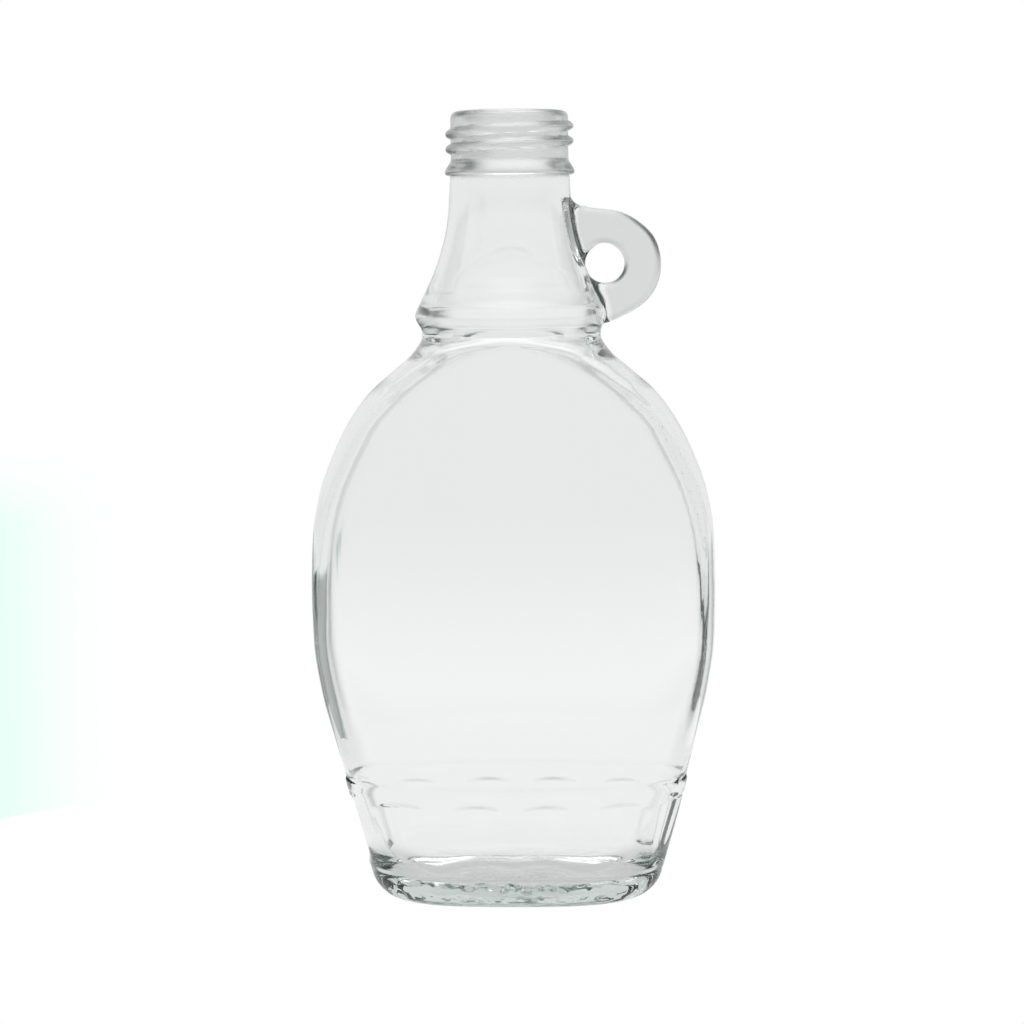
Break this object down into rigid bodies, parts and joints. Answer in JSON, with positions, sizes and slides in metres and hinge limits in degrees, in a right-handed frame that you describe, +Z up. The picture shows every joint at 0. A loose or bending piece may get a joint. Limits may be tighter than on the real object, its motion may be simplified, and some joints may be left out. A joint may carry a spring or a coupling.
{
  "type": "empty glass syrup flask",
  "caption": "Flat oval clear glass flask for syrup, empty and uncapped, with a threaded neck, a collar ring, a finger loop, and arched flutes round the foot.",
  "frame": {"origin": "centre of the foot, on the plane the flask stands on", "axes": "+Z up along the neck; +X towards the finger loop; the broad label panels face -Y and +Y"},
  "size_m": [0.086, 0.045, 0.1673],
  "materials": {
    "clear_glass": "clear, polished"
  },
  "bodies": {
    "root": {"flask": "clear_glass"}
  },
  "joints": []
}
